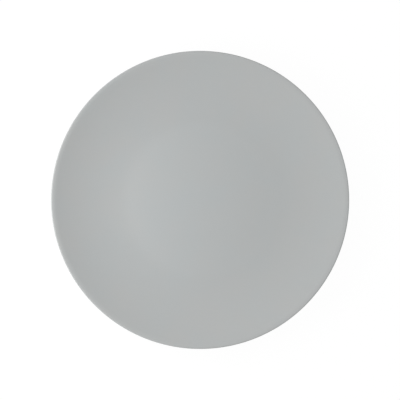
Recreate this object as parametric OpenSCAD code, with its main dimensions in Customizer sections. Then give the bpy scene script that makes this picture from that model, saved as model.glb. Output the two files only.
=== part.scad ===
// Coupe dinner plate: a fired clay body under two glaze films. One film covers the
// face, the lip and the flank, the other lies inside the foot ring. Every piece is
// turned about Z, and the plate stands on Z = 0. Sizes are in millimetres.

/* [Plate] */
// Diameter of the plate over its glazed lip
plate_d = 270; // [240:1:310]
// Height of the plate from the table to the top of its lip
plate_h = 25; // [20:0.5:34]
// Diameter of the flat well in the middle of the face
well_d = 124; // [90:1:146]
// Thickness of the floor under the well, glaze included
floor_t = 5; // [3.5:0.1:7]

/* [Lip] */
// Radius at which the face rolls over towards the lip
lip_roll_r = 16; // [10:0.5:24]
// Inward tilt at which the roll meets the lip's outer edge, in degrees
lip_tilt_deg = 12; // [4:1:15]
// Rounding of the lip's outer edge
lip_edge_r = 1; // [0.9:0.1:1.8]
// Rounding under the lip, which with the edge sets the lip's thickness
lip_under_r = 4; // [2:0.1:6]

/* [Foot] */
// Outside diameter of the bare foot ring at the table
foot_d = 162; // [150:1:185]
// Width of the bare foot ring at the table
foot_w = 4; // [3:0.1:8]
// Height of the recess inside the foot ring
recess_h = 3.2; // [2.8:0.1:6]
// Lean of the foot's sides away from upright, in degrees
foot_draft_deg = 12; // [0:1:25]
// Rounding of the foot ring's bare edges
foot_edge_r = 0.8; // [0.3:0.1:1.2]
// Fillet between the foot's sides and the underside
foot_fillet_r = 1.8; // [0.8:0.1:2.4]

/* [Glaze] */
// Thickness of the glaze films
glaze_t = 0.4; // [0.2:0.05:0.8]
// Height of the bare clay band that the wiped foot shows above the table
bare_h = 1.2; // [0.9:0.1:1.6]

/* [Hidden] */
$fn = 180;

// Steps that draw each arc of the section
face_steps = 18;
roll_steps = 6;
lip_steps = 8;
under_steps = 8;
flank_steps = 14;
fillet_steps = 8;
edge_steps = 6;

// Section of the lip: a close outer edge, the roll that meets it from the face side, and
// the round that leaves it where it is upright
plate_r = plate_d / 2;
lip_c = [plate_r - lip_edge_r, plate_h - lip_edge_r];
roll_c = lip_c + (lip_roll_r - lip_edge_r) * [sin(lip_tilt_deg), -cos(lip_tilt_deg)];
under_c = [plate_r - lip_under_r, lip_c.y];

// Section of the face and the flank: the well is level, the face is an arc that leaves it
// level and runs into the roll, and the flank is an arc that leaves the round under the
// lip and would reach the underside of the floor level at the edge of the well
well_r = well_d / 2;
well_z = recess_h + floor_t;
face_run = roll_c.x - well_r;
face_rise = roll_c.y - well_z;
face_r = (face_run ^ 2 + face_rise ^ 2 - lip_roll_r ^ 2) / (2 * (face_rise + lip_roll_r));
face_c = [well_r, well_z + face_r];
flank_run = under_c.x - well_r;
flank_rise = under_c.y - recess_h;
flank_r = (flank_run ^ 2 + flank_rise ^ 2 - lip_under_r ^ 2) / (2 * (flank_rise - lip_under_r));
flank_c = [well_r, recess_h + flank_r];

// Section of the foot: its sides lean out from the table upwards. Lean is the sideways
// move for each unit of height, and slant the level width for each unit square to a side
foot_r = foot_d / 2;
foot_in_r = foot_r - foot_w;
lean = tan(foot_draft_deg);
slant = 1 / cos(foot_draft_deg);

// Centre of the outer fillet, whose circle touches the foot's side and the flank
root_reach = foot_r + (foot_fillet_r + glaze_t) * slant - well_r;
root_span = flank_r + foot_fillet_r;
root_drop = flank_c.y - root_reach * lean;
root_left = root_reach ^ 2 + flank_c.y ^ 2 - root_span ^ 2;
root_z = (root_drop - sqrt(root_drop ^ 2 - slant ^ 2 * root_left)) / slant ^ 2;
root_c = [well_r + root_reach + root_z * lean, root_z];

// Centre of the inner fillet, whose circle touches the foot's side and the recess
inner_z = recess_h - foot_fillet_r;
inner_c = [foot_in_r - inner_z * lean - (foot_fillet_r + glaze_t) * slant, inner_z];

// Points of an arc about c of radius r from angle a0 to a1, leaving out the first few
function arc(c, r, a0, a1, steps, skip = 0) =
    [for (i = [skip:steps]) let (a = a0 + (a1 - a0) * i / steps) c + r * [cos(a), sin(a)]];

// Angle of the direction from point p to point q
function bearing(p, q) = atan2(q.y - p.y, q.x - p.x);

// The same points in the opposite order
function reversed(points) = [for (i = [len(points) - 1:-1:0]) points[i]];

// Skin from the middle of the face over the lip and down to the bare band of the foot,
// set in from the glazed surface
function outer_path(inset) =
    let (
        roll_in = bearing(face_c, roll_c),
        lip_in = 90 + lip_tilt_deg,
        under_out = bearing(flank_c, under_c),
        root = bearing(flank_c, root_c)
    )
    concat(
        [[0, well_z - inset]],
        arc(face_c, face_r + inset, -90, roll_in, face_steps),
        arc(roll_c, lip_roll_r - inset, roll_in + 180, lip_in, roll_steps, skip = 1),
        arc(lip_c, lip_edge_r - inset, lip_in, 0, lip_steps, skip = 1),
        arc(under_c, lip_under_r - inset, 0, under_out, under_steps, skip = 1),
        arc(flank_c, flank_r - inset, under_out, root, flank_steps, skip = 1),
        arc(root_c, foot_fillet_r + inset, root + 180, 180 - foot_draft_deg, fillet_steps, skip = 1),
        [[foot_r + bare_h * lean + (glaze_t - inset) * slant, bare_h]]
    );

// Bare ring from the outer glaze line, round the contact face, to the inner glaze line
function foot_path() =
    let (edge_in = foot_edge_r * (slant - lean))
    concat(
        arc([foot_r - edge_in, foot_edge_r], foot_edge_r, -foot_draft_deg, -90, edge_steps),
        arc([foot_in_r + edge_in, foot_edge_r], foot_edge_r, -90, foot_draft_deg - 180, edge_steps)
    );

// Skin from the bare band on the inside of the foot to the middle of the recess, set in
// from the glazed surface
function recess_path(inset) =
    concat(
        [[foot_in_r - bare_h * lean - (glaze_t - inset) * slant, bare_h]],
        arc(inner_c, foot_fillet_r + inset, foot_draft_deg, 90, fillet_steps),
        [[0, recess_h + inset]]
    );

// Fired clay: floor, wall, lip core and foot ring in one piece, bare only at the foot
module clay_body() {
    color("#dcd6ca")
        rotate_extrude()
            polygon(concat(outer_path(glaze_t), foot_path(), recess_path(glaze_t)));
}

// Matt grey glaze over the face, the lip and the flank, down to the wiped foot
module glaze_coat() {
    color("#b2b5b4")
        rotate_extrude()
            polygon(concat(outer_path(0), reversed(outer_path(glaze_t))));
}

// The same glaze in the recess, a film of its own inside the wiped foot
module recess_glaze() {
    color("#b2b5b4")
        rotate_extrude()
            polygon(concat(recess_path(0), reversed(recess_path(glaze_t))));
}

clay_body();
glaze_coat();
recess_glaze();
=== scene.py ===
# %% [markdown]
# # A grey coupe dinner plate
#
# A coupe plate has no separate rim. Its face is a flat well and one long curve that rises
# from the well to a rounded lip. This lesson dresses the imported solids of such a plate: the
# solids give the sizes, each visible piece is a surface worked out with numpy, and each
# finish is a node material that starts from what the real surface is.

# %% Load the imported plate
import math

import bpy
import numpy as np
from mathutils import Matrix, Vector


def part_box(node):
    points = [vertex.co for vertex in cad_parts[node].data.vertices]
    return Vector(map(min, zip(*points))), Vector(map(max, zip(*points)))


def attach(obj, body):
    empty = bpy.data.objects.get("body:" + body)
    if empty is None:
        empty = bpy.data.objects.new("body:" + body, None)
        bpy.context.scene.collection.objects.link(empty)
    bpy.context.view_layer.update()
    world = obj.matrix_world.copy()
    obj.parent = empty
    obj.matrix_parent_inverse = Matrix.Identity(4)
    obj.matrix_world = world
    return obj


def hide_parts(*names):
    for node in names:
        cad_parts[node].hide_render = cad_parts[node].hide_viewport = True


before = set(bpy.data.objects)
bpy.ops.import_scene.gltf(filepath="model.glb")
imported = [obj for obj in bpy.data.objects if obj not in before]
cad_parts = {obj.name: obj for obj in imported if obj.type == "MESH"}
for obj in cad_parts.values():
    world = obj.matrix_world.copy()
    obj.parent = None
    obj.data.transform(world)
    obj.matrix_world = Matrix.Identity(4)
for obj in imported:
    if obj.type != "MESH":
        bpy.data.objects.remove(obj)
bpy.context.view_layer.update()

MM = 0.001

# %% [markdown]
# ## The sizes
#
# On the real plate these would be taken with calipers. They could all be typed in again, but
# most can be read from the boxes of the solids, and then they follow when the solids change:
# the lip gives the radius and the height, the clay stops one glaze thickness short of the
# lip, and the film in the recess gives the height of the recess. The few that no box shows,
# such as the width of the well, are the part's own sizes, repeated here by name.

# %% Read the sizes from the solids
coat_low, coat_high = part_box("glaze_coat")
clay_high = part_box("clay_body")[1]
film_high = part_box("recess_glaze")[1]

plate_r = coat_high.x
plate_h = coat_high.z
bare_h = coat_low.z
glaze_t = plate_h - clay_high.z
recess_h = film_high.z - glaze_t

print(f"plate {2 * plate_r / MM:.1f} mm across and {plate_h / MM:.1f} mm high,")
print(f"glaze {glaze_t / MM:.2f} mm thick, bare foot {bare_h / MM:.2f} mm high")

# %% Repeat the sizes that no box shows
well_r = 124 * MM / 2
floor_t = 5 * MM
lip_roll_r = 16 * MM
lip_tilt = math.radians(12)
lip_edge_r = 1.0 * MM
lip_under_r = 4 * MM
foot_w = 4 * MM
foot_edge_r = 0.8 * MM
foot_fillet_r = 1.8 * MM
foot_draft = math.radians(12)

print(f"well {2 * well_r / MM:.0f} mm across, floor {floor_t / MM:.1f} mm thick,")
print(f"foot ring {foot_w / MM:.1f} mm wide, sides {math.degrees(foot_draft):.0f} degrees off upright")

# %% [markdown]
# ## The section
#
# A potter would hold a template against this shape while it turns on the wheel. It could be
# drawn by eye as a Bezier curve, but that only comes near a true arc, and the bands of the
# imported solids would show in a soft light. So the section is worked out from arcs that meet
# smoothly, in the solids' own places and with many more points: a level well, the arc of the
# face, the roll of the lip, its close outer edge, the round under the lip and the arc of the
# flank, then the foot. A point of the section is a radius and a height.

# %% Find the arcs of the face, the lip and the flank
well_z = recess_h + floor_t
edge_c = np.array([plate_r - lip_edge_r, plate_h - lip_edge_r])
roll_c = edge_c + (lip_roll_r - lip_edge_r) * np.array([math.sin(lip_tilt), -math.cos(lip_tilt)])
under_c = np.array([plate_r - lip_under_r, plate_h - lip_edge_r])

# The face leaves the well level and touches the roll from outside, so the distance between
# the centres of these two arcs is the sum of their radii.
face_run = roll_c[0] - well_r
face_rise = roll_c[1] - well_z
face_r = (face_run**2 + face_rise**2 - lip_roll_r**2) / (2 * (face_rise + lip_roll_r))
face_c = np.array([well_r, well_z + face_r])

# The flank starts level under the edge of the well and holds the round under the lip inside
# its own arc, so here the distance is the difference of the radii.
flank_run = under_c[0] - well_r
flank_rise = under_c[1] - recess_h
flank_r = (flank_run**2 + flank_rise**2 - lip_under_r**2) / (2 * (flank_rise - lip_under_r))
flank_c = np.array([well_r, recess_h + flank_r])
print(f"face arc {face_r / MM:.1f} mm, flank arc {flank_r / MM:.1f} mm")

# %% Find the fillets at the root of the foot
# The foot ring widens as it rises: lean is how far a side moves sideways for each unit of
# height, and slant is the level width for each unit square to that side.
lean = math.tan(foot_draft)
slant = 1 / math.cos(foot_draft)
foot_in_r = film_high.x + bare_h * lean
foot_r = foot_in_r + foot_w

# The outer fillet touches the flank from outside and lies one radius off the glazed side of
# the foot. That gives a quadratic for the height of its centre, of which the lower root holds.
root_reach = foot_r + (foot_fillet_r + glaze_t) * slant - well_r
root_span = flank_r + foot_fillet_r
root_drop = flank_c[1] - root_reach * lean
root_left = root_reach**2 + flank_c[1] ** 2 - root_span**2
root_z = (root_drop - math.sqrt(root_drop**2 - slant**2 * root_left)) / slant**2
root_c = np.array([well_r + root_reach + root_z * lean, root_z])

# The inner fillet touches the level roof of the recess and lies one radius off the glazed
# inner side.
inner_z = recess_h - foot_fillet_r
inner_c = np.array([foot_in_r - inner_z * lean - (foot_fillet_r + glaze_t) * slant, inner_z])
print(f"foot {2 * foot_r / MM:.1f} mm across, its outer fillet centred {root_z / MM:.2f} mm up")


# %% Draw arcs and lines as arrays of points
def arc(centre, radius, start, end, steps):
    """Points on a circle: the centre plus the radius times (cos a, sin a), for angles a that
    go from start to end, in radians, in even steps."""
    a = np.linspace(start, end, steps + 1)
    return centre + radius * np.stack([np.cos(a), np.sin(a)], axis=1)


def line(start, end, steps):
    """Points on the straight line from start to end, in even steps."""
    share = np.linspace(0, 1, steps + 1)[:, None]
    return (1 - share) * np.array(start) + share * np.array(end)


def join(first, *others):
    """One run of points from stretches that each begin where the one before ends."""
    return np.concatenate([first] + [stretch[1:] for stretch in others])


def bearing(p, q):
    """Angle of the direction from point p to point q."""
    return math.atan2(q[1] - p[1], q[0] - p[0])


up = math.pi / 2
down = -math.pi / 2
roll_in = bearing(face_c, roll_c)
under_out = bearing(flank_c, under_c)
root_in = bearing(flank_c, root_c)
foot_side = math.pi - foot_draft
print(f"the face meets the lip at a slope of {math.degrees(roll_in - down):.1f} degrees")

# %% The section of the face, the lip and the flank
# Steps along each stretch at a fineness of one
WELL_STEPS = 12
FACE_STEPS = 16
ROLL_STEPS = 5
EDGE_STEPS = 4
UNDER_STEPS = 4
FLANK_STEPS = 10
FILLET_STEPS = 4
# Fineness of a surface under the glaze, in the recess, and on the side that shows
BURIED = 1
RECESS = 2
SHOWN = 3


def outer_section(inset, fineness):
    """Section from the middle of the well to the foot, set in from the glazed surface by
    inset: the level well, then the face's arc at its radius plus inset, the arcs of the lip
    and the flank at their radius less inset, and the fillet of the foot at its radius plus
    inset."""
    return join(
        line((0, well_z - inset), (well_r, well_z - inset), WELL_STEPS * fineness),
        arc(face_c, face_r + inset, down, roll_in, FACE_STEPS * fineness),
        arc(roll_c, lip_roll_r - inset, roll_in + math.pi, up + lip_tilt, ROLL_STEPS * fineness),
        arc(edge_c, lip_edge_r - inset, up + lip_tilt, 0, EDGE_STEPS * fineness),
        arc(under_c, lip_under_r - inset, 0, under_out, UNDER_STEPS * fineness),
        arc(flank_c, flank_r - inset, under_out, root_in, FLANK_STEPS * fineness),
        arc(root_c, foot_fillet_r + inset, root_in + math.pi, foot_side, FILLET_STEPS * fineness),
    )


print("points from the well to the foot:", len(outer_section(0, SHOWN)))


# %% The section inside the foot ring
def recess_section(inset, fineness):
    """Section inside the foot ring, set in from the glazed surface by inset: the fillet of
    the foot at its radius plus inset, then the level roof of the recess."""
    return join(
        arc(inner_c, foot_fillet_r + inset, foot_draft, up, FILLET_STEPS * fineness),
        line((inner_c[0], recess_h + inset), (0, recess_h + inset), WELL_STEPS * fineness),
    )


print("points in the recess:", len(recess_section(0, RECESS)))

# %% [markdown]
# ## Turning a section into a piece
#
# Everything here is made on a wheel, so one function serves every piece. Blender's Spin or
# Screw would also do it, but a grid of two parameters, the step along the section and the
# turn about the axis, is exact at the seam and the poles, and lets a piece sway a little as
# it goes round, which no modifier gives.

# %% Surface of revolution
TURN_STEPS = 360
turn = 2 * np.pi * np.arange(TURN_STEPS) / TURN_STEPS


def revolve(section, sway):
    """The point of ring i at turn t is (r cos t, r sin t, z), where (r, z) is the section's
    point i plus its sway at that turn. The first and last points lie on the axis and become
    single poles, and the last step of the turn joins the first, so the skin is closed. The
    four-sided faces lie between the rings, and the three-sided ones round the poles."""
    grid = section[:, None, :] + sway + np.zeros((1, TURN_STEPS, 1))
    radius, height = grid[..., 0], grid[..., 1]
    xyz = np.stack([radius * np.cos(turn), radius * np.sin(turn), height], axis=-1)
    points = np.concatenate([xyz[1:-1].reshape(-1, 3), xyz[[0, -1], 0]])

    here = np.arange((len(section) - 2) * TURN_STEPS).reshape(-1, TURN_STEPS)
    following = np.roll(here, -1, axis=1)
    quads = np.stack([here[:-1], here[1:], following[1:], following[:-1]], axis=-1).reshape(-1, 4)
    first = np.full(TURN_STEPS, len(points) - 2)
    last = np.full(TURN_STEPS, len(points) - 1)
    caps = np.concatenate([
        np.stack([first, here[0], following[0]], axis=-1),
        np.stack([here[-1], last, following[-1]], axis=-1),
    ])
    return points, quads, caps


print(f"a ring has {TURN_STEPS} points, {2 * np.pi * plate_r / TURN_STEPS / MM:.1f} mm apart at the lip")


# %% Put a turned section into a mesh
def volume_inside(points, triangles):
    """Volume of a closed skin: a sixth of the sum of a . (b x c) over its triangles a, b, c.
    It is positive where the faces point outwards."""
    corners = points[triangles]
    return np.einsum("ij,ij->", corners[:, 0], np.cross(corners[:, 1], corners[:, 2])) / 6


def add_piece(name, section, sway=0.0):
    """A smooth mesh of the turned section, in an object at the origin."""
    points, quads, caps = revolve(section, sway)
    mesh = bpy.data.meshes.new(name)
    mesh.from_pydata(points.tolist(), [], quads.tolist() + caps.tolist())
    mesh.polygons.foreach_set("use_smooth", np.ones(len(mesh.polygons), bool))
    mesh.update()
    piece = bpy.data.objects.new(name, mesh)
    bpy.context.scene.collection.objects.link(piece)
    triangles = np.concatenate([quads[:, [0, 1, 2]], quads[:, [0, 2, 3]], caps])
    volume = volume_inside(points, triangles) / (10 * MM) ** 3
    print(f"{name}: {len(triangles)} triangles, {volume:.1f} cubic centimetres")
    return piece


# %% [markdown]
# ## The clay body
#
# The plate is pressed from soft stoneware clay between a spinning mould and a heated roller,
# then fired. Almost all of it is under glaze. What shows is the foot: its ring is wiped clean
# before firing, or the glaze would weld the plate to the kiln shelf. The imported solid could
# stay in the picture with a new material, but its round edges are drawn in coarse bands. The
# section turned again is smooth there, and under the glaze it has the very points of the
# films, so no gap can open between them.

# %% The section of the bare foot
BARE_STEPS = 8
# How far a round edge reaches in from where the leaning side would meet the table
edge_reach = foot_edge_r * (slant - lean)


def bare_ring():
    """Section of the wiped foot: a round at the outer edge, from the leaning side to level,
    then the ring that stands on the table, and a round at the inner edge."""
    outer = np.array([foot_r - edge_reach, foot_edge_r])
    inner = np.array([foot_in_r + edge_reach, foot_edge_r])
    return join(
        arc(outer, foot_edge_r, -foot_draft, down, BARE_STEPS),
        line((outer[0], 0), (inner[0], 0), BARE_STEPS),
        arc(inner, foot_edge_r, down, foot_draft - math.pi, BARE_STEPS),
    )


print(f"the plate stands on a level ring {(foot_w - 2 * edge_reach) / MM:.1f} mm wide")

# %% Make the clay body
clay = add_piece("plate_clay", np.concatenate([
    outer_section(glaze_t, BURIED),
    bare_ring(),
    recess_section(glaze_t, BURIED),
]))
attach(clay, "root")
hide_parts("clay_body")

# %% [markdown]
# ## The glaze films
#
# A fired glaze is a skin of glass with a thickness of its own. Where the foot was wiped it
# ends in a small round roll, and the sponge never leaves a perfectly level line. A Solidify
# modifier would give a surface that thickness, but it cuts the edge square. So each film is a
# closed shell with an inside and an outside, its edge is a quarter round, and that edge rises
# and falls by a hair on its way round the foot.

# %% The line that the sponge leaves
LINE_SWAY = 0.16 * MM
# Each wave's crests to the round, its share of the sway, and its start in radians
SPONGE_WAVES = ((3, 0.55, 0.4), (8, 0.30, 1.9), (19, 0.15, 0.7))

# How far a film's edge lies above its mean height at each turn: the sum of the waves, each
# its share times the sine of its crests times the turn plus its start
waves = [share * np.sin(crests * turn + start) for crests, share, start in SPONGE_WAVES]
wiped_line = LINE_SWAY * sum(waves)
print(f"the wiped line sways by {np.abs(wiped_line).max() / MM:.2f} mm")

# %% The edge of a film
ROUND_POINTS = 7


def wiped_edge(corner, side):
    """Quarter round of one film thickness, from the film's face down to the clay at corner.
    Side is +1 where the film lies outside the foot ring and -1 where it lies inside."""
    across = np.array([side * math.cos(foot_draft), -math.sin(foot_draft)])
    along = np.array([side * math.sin(foot_draft), math.cos(foot_draft)])
    a = np.linspace(0, np.pi / 2, ROUND_POINTS)[:, None]
    return np.array(corner) + glaze_t * (along + np.cos(a) * across - np.sin(a) * along)


def edge_sway(before, after, side):
    """Sway that moves only the points of the edge, up and down along the side of the foot.
    Before and after are the numbers of points that stay still on either hand of it."""
    weight = np.concatenate([np.zeros(before), np.ones(ROUND_POINTS), np.zeros(after)])
    shift = weight[:, None] * wiped_line[None, :]
    return np.stack([side * lean * shift, shift], axis=-1)


print(f"each film ends in a quarter round of {glaze_t / MM:.2f} mm, drawn with {ROUND_POINTS} points")

# %% Make the coat over the face, the lip and the flank
face_out = outer_section(0, SHOWN)
face_in = outer_section(glaze_t, BURIED)[::-1]
coat_edge = wiped_edge((foot_r + bare_h * lean, bare_h), 1)
coat = add_piece(
    "glaze_skin",
    np.concatenate([face_out, coat_edge, face_in]),
    edge_sway(len(face_out), len(face_in), 1),
)
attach(coat, "root")
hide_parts("glaze_coat")

# %% Make the film in the recess
recess_in = recess_section(glaze_t, BURIED)[::-1]
recess_out = recess_section(0, RECESS)
film_edge = wiped_edge((foot_in_r - bare_h * lean, bare_h), -1)[::-1]
film = add_piece(
    "recess_skin",
    np.concatenate([recess_in, film_edge, recess_out]),
    edge_sway(len(recess_in), len(recess_out), -1),
)
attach(film, "root")
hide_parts("recess_glaze")

# %% [markdown]
# ## Materials from real surfaces
#
# A material is a small graph of nodes. It could be clicked together in the Shader Editor, but
# written down it can be read and changed. One helper adds a node, sets its own settings and
# then fills its sockets, so each finish below reads like a recipe. Colours are written as sRGB
# hex, as a colour chart gives them, and turned to the linear values that the renderer works
# in. Patterns read Object coordinates, which are metres here, so a scale is one over a size.

# %% Helpers for the materials
# The Mix node keeps sockets for every kind of data: these are the places of its factor, its
# two colours and the colour that comes out.
FACTOR = 0
COLOUR_A = 6
COLOUR_B = 7
COLOUR_OUT = 2


def linear(code):
    """Linear RGBA of an sRGB hex colour: a straight line near black, a power curve above."""
    srgb = np.array([int(code[k : k + 2], 16) for k in (1, 3, 5)]) / 255
    rgb = np.where(srgb <= 0.04045, srgb / 12.92, ((srgb + 0.055) / 1.055) ** 2.4)
    return (*rgb.tolist(), 1.0)


def add_node(tree, kind, sockets, **settings):
    """Add a node, set its settings, then link each socket or give it a value."""
    made = tree.nodes.new(kind)
    for name, value in settings.items():
        setattr(made, name, value)
    for key, value in sockets.items():
        if isinstance(value, bpy.types.NodeSocket):
            tree.links.new(value, made.inputs[key])
        else:
            made.inputs[key].default_value = value
    return made


def new_material(name):
    """An empty material with its node tree and Object coordinates, ready for a recipe."""
    made = bpy.data.materials.new(name)
    made.use_nodes = True
    made.node_tree.nodes.clear()
    where = add_node(made.node_tree, "ShaderNodeTexCoord", {})
    return made, made.node_tree, where.outputs["Object"]


WHITE = linear("#ffffff")
print("white in linear light:", WHITE)

# %% [markdown]
# ## Matt grey glaze
#
# A matt stoneware glaze is glass crowded with tiny crystals that formed as the kiln cooled.
# They scatter light, so there is no mirror image and only a wide, weak sheen. The eye sees an
# even mid grey in faint clouds, a very fine tooth, and the shallow ripple of a sprayed coat
# that has flowed out. The colour is a shade paler in the level well than on the wall. It is
# coolest in the middle and warms towards the lip, where the coat is thin and lets a little of
# the clay's colour through.
#
# A picture of such a glaze could be wrapped round the plate, but it would stretch on the wall
# and show a seam. Noise in Object coordinates needs no unwrapping and keeps its real size.

# %% Patterns in the glaze
CLOUD_SIZE = 30 * MM
RIPPLE_SIZE = 3.2 * MM
# Real crystals are about 0.1 mm across; they are drawn larger so that the render shows a tooth.
CRYSTAL_SIZE = 1.1 * MM

matt_glaze, tree, where = new_material("matt_stoneware_glaze")
clouds = add_node(tree, "ShaderNodeTexNoise",
                  {"Vector": where, "Scale": 1 / CLOUD_SIZE, "Detail": 2.0, "Roughness": 0.5})
ripple = add_node(tree, "ShaderNodeTexNoise",
                  {"Vector": where, "Scale": 1 / RIPPLE_SIZE, "Detail": 1.0, "Roughness": 0.4})
crystals = add_node(tree, "ShaderNodeTexNoise",
                    {"Vector": where, "Scale": 1 / CRYSTAL_SIZE, "Detail": 1.0, "Roughness": 0.6})
from_middle = add_node(tree, "ShaderNodeVectorMath", {0: where}, operation="LENGTH")
print(f"clouds about {CLOUD_SIZE / MM:.0f} mm wide, ripples about {RIPPLE_SIZE / MM:.1f} mm")

# %% Tint of the glaze, from the middle to the lip
GLAZE_COOL = "#afb4b5"
GLAZE_WARM = "#b3b4b3"
# How far the tint goes from cool to warm: in the middle, at the lip, and what a cloud adds
MIDDLE_WARMTH = 0.12
LIP_WARMTH = 0.5
CLOUD_WARMTH = 0.3
# Noise values at which a cloud begins and is full
CLOUD_BEGINS = 0.35
CLOUD_FULL = 0.65

thinning = add_node(tree, "ShaderNodeMapRange",
                    {"Value": from_middle.outputs["Value"], "From Min": 0.0, "From Max": plate_r,
                     "To Min": MIDDLE_WARMTH, "To Max": LIP_WARMTH})
drift = add_node(tree, "ShaderNodeMapRange",
                 {"Value": clouds.outputs["Fac"], "From Min": CLOUD_BEGINS, "From Max": CLOUD_FULL,
                  "To Max": CLOUD_WARMTH})
warmth = add_node(tree, "ShaderNodeMath", {0: thinning.outputs["Result"], 1: drift.outputs["Result"]},
                  operation="ADD")
tint = add_node(tree, "ShaderNodeMix",
                {FACTOR: warmth.outputs["Value"], COLOUR_A: linear(GLAZE_COOL),
                 COLOUR_B: linear(GLAZE_WARM)},
                data_type="RGBA")
print("glaze tint:", GLAZE_COOL, "to", GLAZE_WARM)

# %% Crystals in the glaze, and the paler well
GLAZE_CRYSTAL = "#bbbebe"
# Noise values at which a crystal begins to show and shows most, and its share of the colour
FLECK_BEGINS = 0.58
FLECK_FULL = 0.8
FLECK_SHARE = 0.3
# Share of the crystals' colour mixed in across the well to make it paler, and the radii between which
# that share fades to none
WELL_PALER_SHARE = 0.15
WELL_PALER_FULL_R = 65 * MM
WELL_PALER_GONE_R = 77 * MM

fleck = add_node(tree, "ShaderNodeMapRange",
                 {"Value": crystals.outputs["Fac"], "From Min": FLECK_BEGINS, "From Max": FLECK_FULL,
                  "To Max": FLECK_SHARE})
# Makes the well a shade paler than the wall, fading out between the two radii
paler_well = add_node(tree, "ShaderNodeMapRange",
                {"Value": from_middle.outputs["Value"], "From Min": WELL_PALER_FULL_R, "From Max": WELL_PALER_GONE_R,
                 "To Min": WELL_PALER_SHARE, "To Max": 0.0},
                interpolation_type="SMOOTHSTEP")
paler = add_node(tree, "ShaderNodeMath", {0: fleck.outputs["Result"], 1: paler_well.outputs["Result"]},
                 operation="ADD")
glaze_colour = add_node(tree, "ShaderNodeMix",
                        {FACTOR: paler.outputs["Value"], COLOUR_A: tint.outputs[COLOUR_OUT],
                         COLOUR_B: linear(GLAZE_CRYSTAL)},
                        data_type="RGBA")
print("crystals:", GLAZE_CRYSTAL, "with a share of", WELL_PALER_SHARE, "in the well")

# %% Tooth, ripple and sheen of the glaze
RIPPLE_HEIGHT = 0.008 * MM
CRYSTAL_HEIGHT = 0.003 * MM
GLAZE_IOR = 1.5
# Roughness between the crystals and on them, and the noise values that count as either
BETWEEN_ROUGHNESS = 0.58
CRYSTAL_ROUGHNESS = 0.68
BETWEEN_NOISE = 0.3
CRYSTAL_NOISE = 0.7

tooth = add_node(tree, "ShaderNodeMapRange",
                 {"Value": crystals.outputs["Fac"], "From Min": BETWEEN_NOISE, "From Max": CRYSTAL_NOISE,
                  "To Min": BETWEEN_ROUGHNESS, "To Max": CRYSTAL_ROUGHNESS})
rippled = add_node(tree, "ShaderNodeBump",
                   {"Height": ripple.outputs["Fac"], "Distance": RIPPLE_HEIGHT, "Strength": 1.0})
toothed = add_node(tree, "ShaderNodeBump",
                   {"Height": crystals.outputs["Fac"], "Distance": CRYSTAL_HEIGHT, "Strength": 1.0,
                    "Normal": rippled.outputs["Normal"]})
glass = add_node(tree, "ShaderNodeBsdfPrincipled",
                 {"Base Color": glaze_colour.outputs[COLOUR_OUT], "Roughness": tooth.outputs["Result"],
                  "IOR": GLAZE_IOR, "Normal": toothed.outputs["Normal"]})
add_node(tree, "ShaderNodeOutputMaterial", {"Surface": glass.outputs["BSDF"]})
coat.data.materials.append(matt_glaze)
film.data.materials.append(matt_glaze)
print("matt glaze:", len(tree.nodes), "nodes, roughness", BETWEEN_ROUGHNESS, "to", CRYSTAL_ROUGHNESS)

# %% [markdown]
# ## Bare stoneware
#
# Fired stoneware without glaze is dry and chalky: pale, slightly warm, with fine dark specks
# of iron and the close rings that a damp sponge and a diamond pad leave as the plate turns.
# It has no sheen to speak of, so its roughness is near one. The rings could be cut into the
# mesh, but they are only a fiftieth of a millimetre high, so a wave pattern about the axis
# gives them as bump.

# %% Patterns in the bare clay
GRAIN_SIZE = 0.9 * MM
SPECK_SPACING = 2.4 * MM
RING_PITCH = 0.45 * MM
# A ring pattern of scale 1 has 20 radians to the metre.
RINGS_PER_SCALE = 20 / (2 * math.pi)

bare_clay, tree, where = new_material("bare_stoneware")
grain = add_node(tree, "ShaderNodeTexNoise",
                 {"Vector": where, "Scale": 1 / GRAIN_SIZE, "Detail": 3.0, "Roughness": 0.6})
iron = add_node(tree, "ShaderNodeTexVoronoi",
                {"Vector": where, "Scale": 1 / SPECK_SPACING, "Randomness": 1.0})
rings = add_node(tree, "ShaderNodeTexWave",
                 {"Vector": where, "Scale": 1 / (RING_PITCH * RINGS_PER_SCALE), "Distortion": 0.6,
                  "Detail": 1.0, "Detail Scale": 2.0},
                 wave_type="RINGS", rings_direction="Z", wave_profile="SIN")
print(f"specks {SPECK_SPACING / MM:.1f} mm apart, rings {RING_PITCH / MM:.2f} mm apart")

# %% Colour and relief of the bare clay
CLAY_PALE = "#e1dbd0"
CLAY_WARM = "#d8d2c5"
CLAY_SPECK = "#8f8474"
# Radii at which a speck begins to fade and is gone, as shares of the spacing, and its strength
SPECK_FADES = 0.10
SPECK_GONE = 0.16
SPECK_STRENGTH = 0.7
RING_HEIGHT = 0.02 * MM
GRAIN_HEIGHT = 0.02 * MM
CLAY_ROUGHNESS = 0.9
CLAY_IOR = 1.5

speck = add_node(tree, "ShaderNodeMapRange",
                 {"Value": iron.outputs["Distance"], "From Min": SPECK_FADES, "From Max": SPECK_GONE,
                  "To Min": SPECK_STRENGTH, "To Max": 0.0})
body = add_node(tree, "ShaderNodeMix",
                {FACTOR: grain.outputs["Fac"], COLOUR_A: linear(CLAY_PALE),
                 COLOUR_B: linear(CLAY_WARM)},
                data_type="RGBA")
clay_colour = add_node(tree, "ShaderNodeMix",
                       {FACTOR: speck.outputs["Result"], COLOUR_A: body.outputs[COLOUR_OUT],
                        COLOUR_B: linear(CLAY_SPECK)},
                       data_type="RGBA")
wiped = add_node(tree, "ShaderNodeBump",
                 {"Height": rings.outputs["Fac"], "Distance": RING_HEIGHT, "Strength": 1.0})
grainy = add_node(tree, "ShaderNodeBump",
                  {"Height": grain.outputs["Fac"], "Distance": GRAIN_HEIGHT, "Strength": 1.0,
                   "Normal": wiped.outputs["Normal"]})
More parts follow.
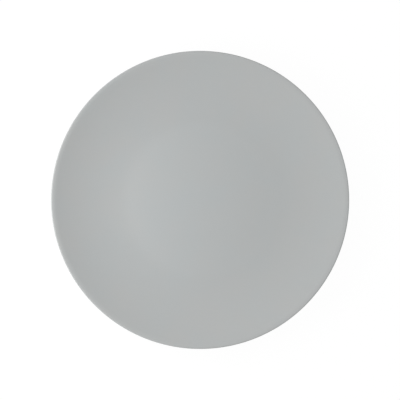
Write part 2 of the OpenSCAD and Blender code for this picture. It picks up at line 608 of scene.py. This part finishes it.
chalk = add_node(tree, "ShaderNodeBsdfPrincipled",
                 {"Base Color": clay_colour.outputs[COLOUR_OUT], "Roughness": CLAY_ROUGHNESS,
                  "IOR": CLAY_IOR, "Normal": grainy.outputs["Normal"]})
add_node(tree, "ShaderNodeOutputMaterial", {"Surface": chalk.outputs["BSDF"]})
clay.data.materials.append(bare_clay)
print("bare clay:", CLAY_PALE, "to", CLAY_WARM, "with", len(tree.nodes), "nodes")

# %% [markdown]
# ## The floor
#
# The plate stands on a plain white table. A photographer would light such a table until it is
# pure white in the picture, but more lamps would wash out the plate too. Here a Light Path
# node does it: seen by the camera, or in a reflection, part of the floor's white is its own,
# and the rest is ordinary white paint, which keeps the plate's shadow. Under the plate half of
# it is paint, beside the plate a small share, and far away none, where no shadow falls. With
# less of its own white, the floor under the plate is darker: painted shade under the plate,
# on top of the real shadow on the paint.

# %% Lay the floor
FLOOR_SIDE = 8.0

corners = FLOOR_SIDE / 2 * np.array([[-1, -1, 0], [1, -1, 0], [1, 1, 0], [-1, 1, 0]])
floor_mesh = bpy.data.meshes.new("floor")
floor_mesh.from_pydata(corners.tolist(), [], [[0, 1, 2, 3]])
floor = bpy.data.objects.new("floor", floor_mesh)
bpy.context.scene.collection.objects.link(floor)
print("floor:", FLOOR_SIDE, "metres square")

# %% Paint the floor
FLOOR_PAINT = "#f4f4f4"
# A little over one, so that the floor's own white and its paint together reach pure white
OWN_WHITE = 1.02
# Less own white under the plate: painted shade under the plate, on top of its real shadow
OWN_SHARE_UNDER = 0.5
OWN_SHARE_BESIDE = 0.94
# Distances from the plate's axis, in metres, between which the paint gives way
FAR_START = 0.25
FAR_END = 1.2


def seen_directly(tree):
    """A factor that is 1 on rays from the camera, in reflections and through glass."""
    path = add_node(tree, "ShaderNodeLightPath", {})
    shine = add_node(tree, "ShaderNodeMath",
                     {0: path.outputs["Is Glossy Ray"], 1: path.outputs["Is Transmission Ray"]},
                     operation="MAXIMUM")
    seen = add_node(tree, "ShaderNodeMath",
                    {0: path.outputs["Is Camera Ray"], 1: shine.outputs["Value"]},
                    operation="MAXIMUM")
    return seen.outputs["Value"]


white_table, tree, where = new_material("white_painted_table")
paint = add_node(tree, "ShaderNodeBsdfDiffuse", {"Color": linear(FLOOR_PAINT)})
own = add_node(tree, "ShaderNodeEmission", {"Color": WHITE, "Strength": OWN_WHITE})
from_axis = add_node(tree, "ShaderNodeVectorMath", {0: where}, operation="LENGTH")
# Ramps the own white down under the plate, which paints shade there
beside = add_node(tree, "ShaderNodeMapRange",
                  {"Value": from_axis.outputs["Value"], "From Min": foot_r, "From Max": plate_r,
                   "To Min": OWN_SHARE_UNDER, "To Max": OWN_SHARE_BESIDE},
                  interpolation_type="SMOOTHSTEP")
far = add_node(tree, "ShaderNodeMapRange",
               {"Value": from_axis.outputs["Value"], "From Min": FAR_START, "From Max": FAR_END,
                "To Max": 1 - OWN_SHARE_BESIDE},
               interpolation_type="SMOOTHSTEP")
own_share = add_node(tree, "ShaderNodeMath", {0: beside.outputs["Result"], 1: far.outputs["Result"]},
                     operation="ADD")
seen_share = add_node(tree, "ShaderNodeMath", {0: seen_directly(tree), 1: own_share.outputs["Value"]},
                      operation="MULTIPLY")
table = add_node(tree, "ShaderNodeMixShader",
                 {FACTOR: seen_share.outputs["Value"], 1: paint.outputs["BSDF"],
                  2: own.outputs["Emission"]})
add_node(tree, "ShaderNodeOutputMaterial", {"Surface": table.outputs["Shader"]})
floor_mesh.materials.append(white_table)
print("floor's own white:", OWN_SHARE_UNDER, "under the plate,", OWN_SHARE_BESIDE, "beside it")

# %% [markdown]
# ## The light
#
# Most of the light comes softly from all round. The shading tells the rest. The well darkens
# steadily from left to right, so a softbox stands near it on the left. The lightest wall is
# the one at the lower right, so a weaker softbox stands further off, beyond the top of the
# picture, and the two light that wall together. A picture of a studio wrapped round the scene
# could give such light too, but two lamps are easier to read and to move. Each light is
# written as its share of the light on a level white card in the middle of the table. The
# shares add up to one, so a colour renders about as it is written.

# %% Light from all round
LEFT_SHARE = 0.31
UPPER_SHARE = 0.03
AROUND_SHARE = 1 - LEFT_SHARE - UPPER_SHARE
BACKDROP_WHITE = 1.0

world = bpy.data.worlds.new("studio")
bpy.context.scene.world = world
world.use_nodes = True
tree = world.node_tree
tree.nodes.clear()
around = add_node(tree, "ShaderNodeBackground", {"Color": WHITE, "Strength": AROUND_SHARE})
backdrop = add_node(tree, "ShaderNodeBackground", {"Color": WHITE, "Strength": BACKDROP_WHITE})
sky = add_node(tree, "ShaderNodeMixShader",
               {FACTOR: seen_directly(tree), 1: around.outputs["Background"],
                2: backdrop.outputs["Background"]})
add_node(tree, "ShaderNodeOutputWorld", {"Surface": sky.outputs["Shader"]})
print(f"light from all round: {AROUND_SHARE:.2f} of the whole")


# %% Two softboxes
def add_softbox(name, share, azimuth, height, reach, side):
    """A square lamp that faces the plate from the given azimuth and height, in degrees. At
    power P and reach d it lights a level white card to P times sin(height) over (pi d)
    squared, so its share of the light gives its power. Reach and side are in metres."""
    aim = math.radians(azimuth)
    lift = math.radians(height)
    towards = Vector((math.cos(aim) * math.cos(lift), math.sin(aim) * math.cos(lift), math.sin(lift)))
    data = bpy.data.lights.new(name, "AREA")
    data.shape = "SQUARE"
    data.size = side
    data.energy = share * (math.pi * reach) ** 2 / math.sin(lift)
    lamp = bpy.data.objects.new(name, data)
    lamp.location = Vector((0, 0, plate_h / 2)) + reach * towards
    lamp.rotation_euler = towards.to_track_quat("Z", "Y").to_euler()
    bpy.context.scene.collection.objects.link(lamp)
    print(f"{name}: {data.energy:.2f} W at {reach} m")


add_softbox("left_softbox", share=LEFT_SHARE, azimuth=183, height=32, reach=0.47, side=0.34)
add_softbox("upper_softbox", share=UPPER_SHARE, azimuth=110, height=34, reach=1.50, side=0.30)

# %% [markdown]
# ## The camera
#
# The picture is taken from straight above with a long lens, so the plate is a perfect circle.
# The camera could be pushed about until the circle fits, but its place can be worked out: its
# distance follows from how many pixels of the picture the plate's radius takes up, and its
# small offset from where the middle of the plate lies in the frame.

# %% Place the camera
PICTURE_SIDE_PX = 400
PLATE_RADIUS_PX = 149.06
PLATE_CENTRE_PX = (200.14, 199.90)
LENS_MM = 135
SENSOR_MM = 36

camera_data = bpy.data.cameras.new("camera")
camera_data.lens = LENS_MM
camera_data.sensor_width = SENSOR_MM
camera = bpy.data.objects.new("camera", camera_data)

# The lip is widest at the height of its edge's centre, so that is where a pixel is measured.
pixel = plate_r / PLATE_RADIUS_PX
camera.location = (
    (PICTURE_SIDE_PX / 2 - PLATE_CENTRE_PX[0]) * pixel,
    (PLATE_CENTRE_PX[1] - PICTURE_SIDE_PX / 2) * pixel,
    edge_c[1] + PICTURE_SIDE_PX * pixel * LENS_MM / SENSOR_MM,
)
bpy.context.scene.collection.objects.link(camera)
bpy.context.scene.camera = camera
bpy.context.scene.view_settings.view_transform = "Standard"
print(f"camera {camera.location.z:.3f} m above the table, {pixel / MM:.3f} mm to a pixel")
